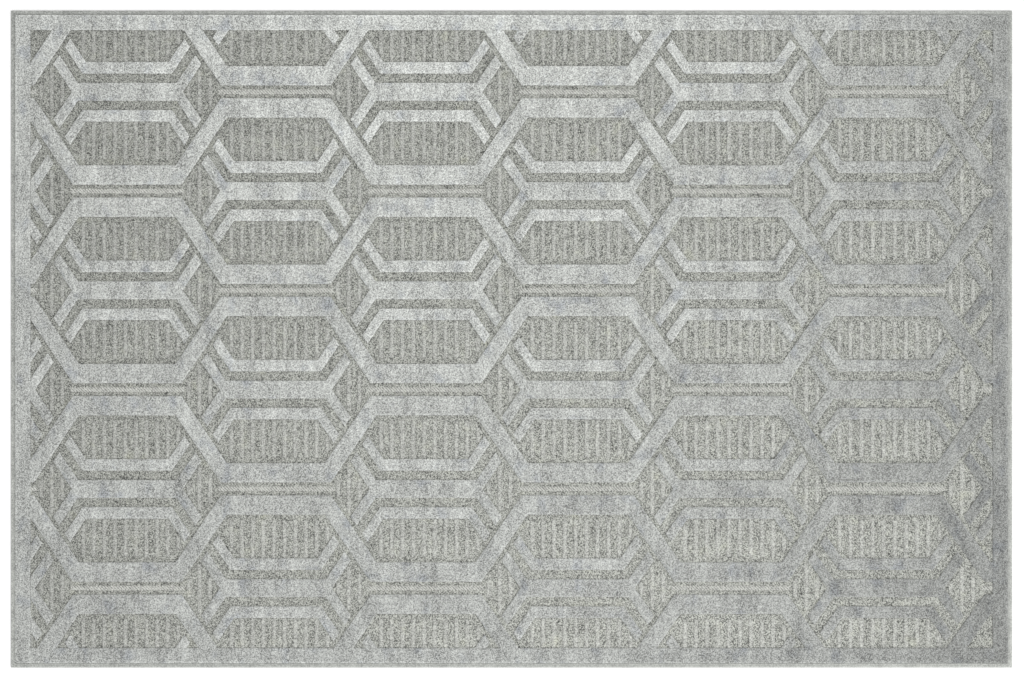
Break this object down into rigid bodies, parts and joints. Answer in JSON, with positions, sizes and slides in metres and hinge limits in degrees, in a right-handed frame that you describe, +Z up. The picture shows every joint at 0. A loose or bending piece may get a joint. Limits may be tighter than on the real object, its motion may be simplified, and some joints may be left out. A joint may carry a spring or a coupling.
{
  "type": "area rug",
  "caption": "Rectangular high-low woven area rug with a raised cut-pile lattice of long interlocking hexagons, ribbed flat-woven panels, a raised frame and wrapped edges.",
  "frame": {"origin": "centre of the face that lies on the floor", "axes": "+X along the rug's length, +Y across its width, +Z up out of the pile"},
  "size_m": [2.438, 1.6, 0.009],
  "materials": {
    "pile": "silky cut pile, brushed in patches",
    "face_cloth": "matte heathered flat weave",
    "binding": "satin wrapped yarn",
    "weft_back": "coarse jute shots with a dull latex film",
    "stuffer_warp": "matte cotton yarn",
    "latex_size": "dull latex",
    "edge_cord": "matte twisted cotton"
  },
  "bodies": {
    "root": {"weft_back": "weft_back", "latex_size": "latex_size", "stuffer_warp": "stuffer_warp", "face_cloth": "face_cloth", "border_pile_left": "pile", "border_pile_right": "pile", "border_pile_front": "pile", "border_pile_back": "pile", "lattice_strip_1": "pile", "lattice_strip_2": "pile", "lattice_strip_3": "pile", "lattice_strip_4": "pile", "lattice_strip_5": "pile", "lattice_strip_6": "pile", "lattice_strip_7": "pile", "fork_bar_pile": "pile", "bracket_pile": "pile", "panel_ribs": "face_cloth", "diamond_ribs": "face_cloth", "twill_cords": "face_cloth", "binding_left": "binding", "binding_right": "binding", "binding_front": "binding", "binding_back": "binding", "edge_cord_left": "edge_cord", "edge_cord_right": "edge_cord", "edge_cord_front": "edge_cord", "edge_cord_back": "edge_cord"}
  },
  "joints": []
}
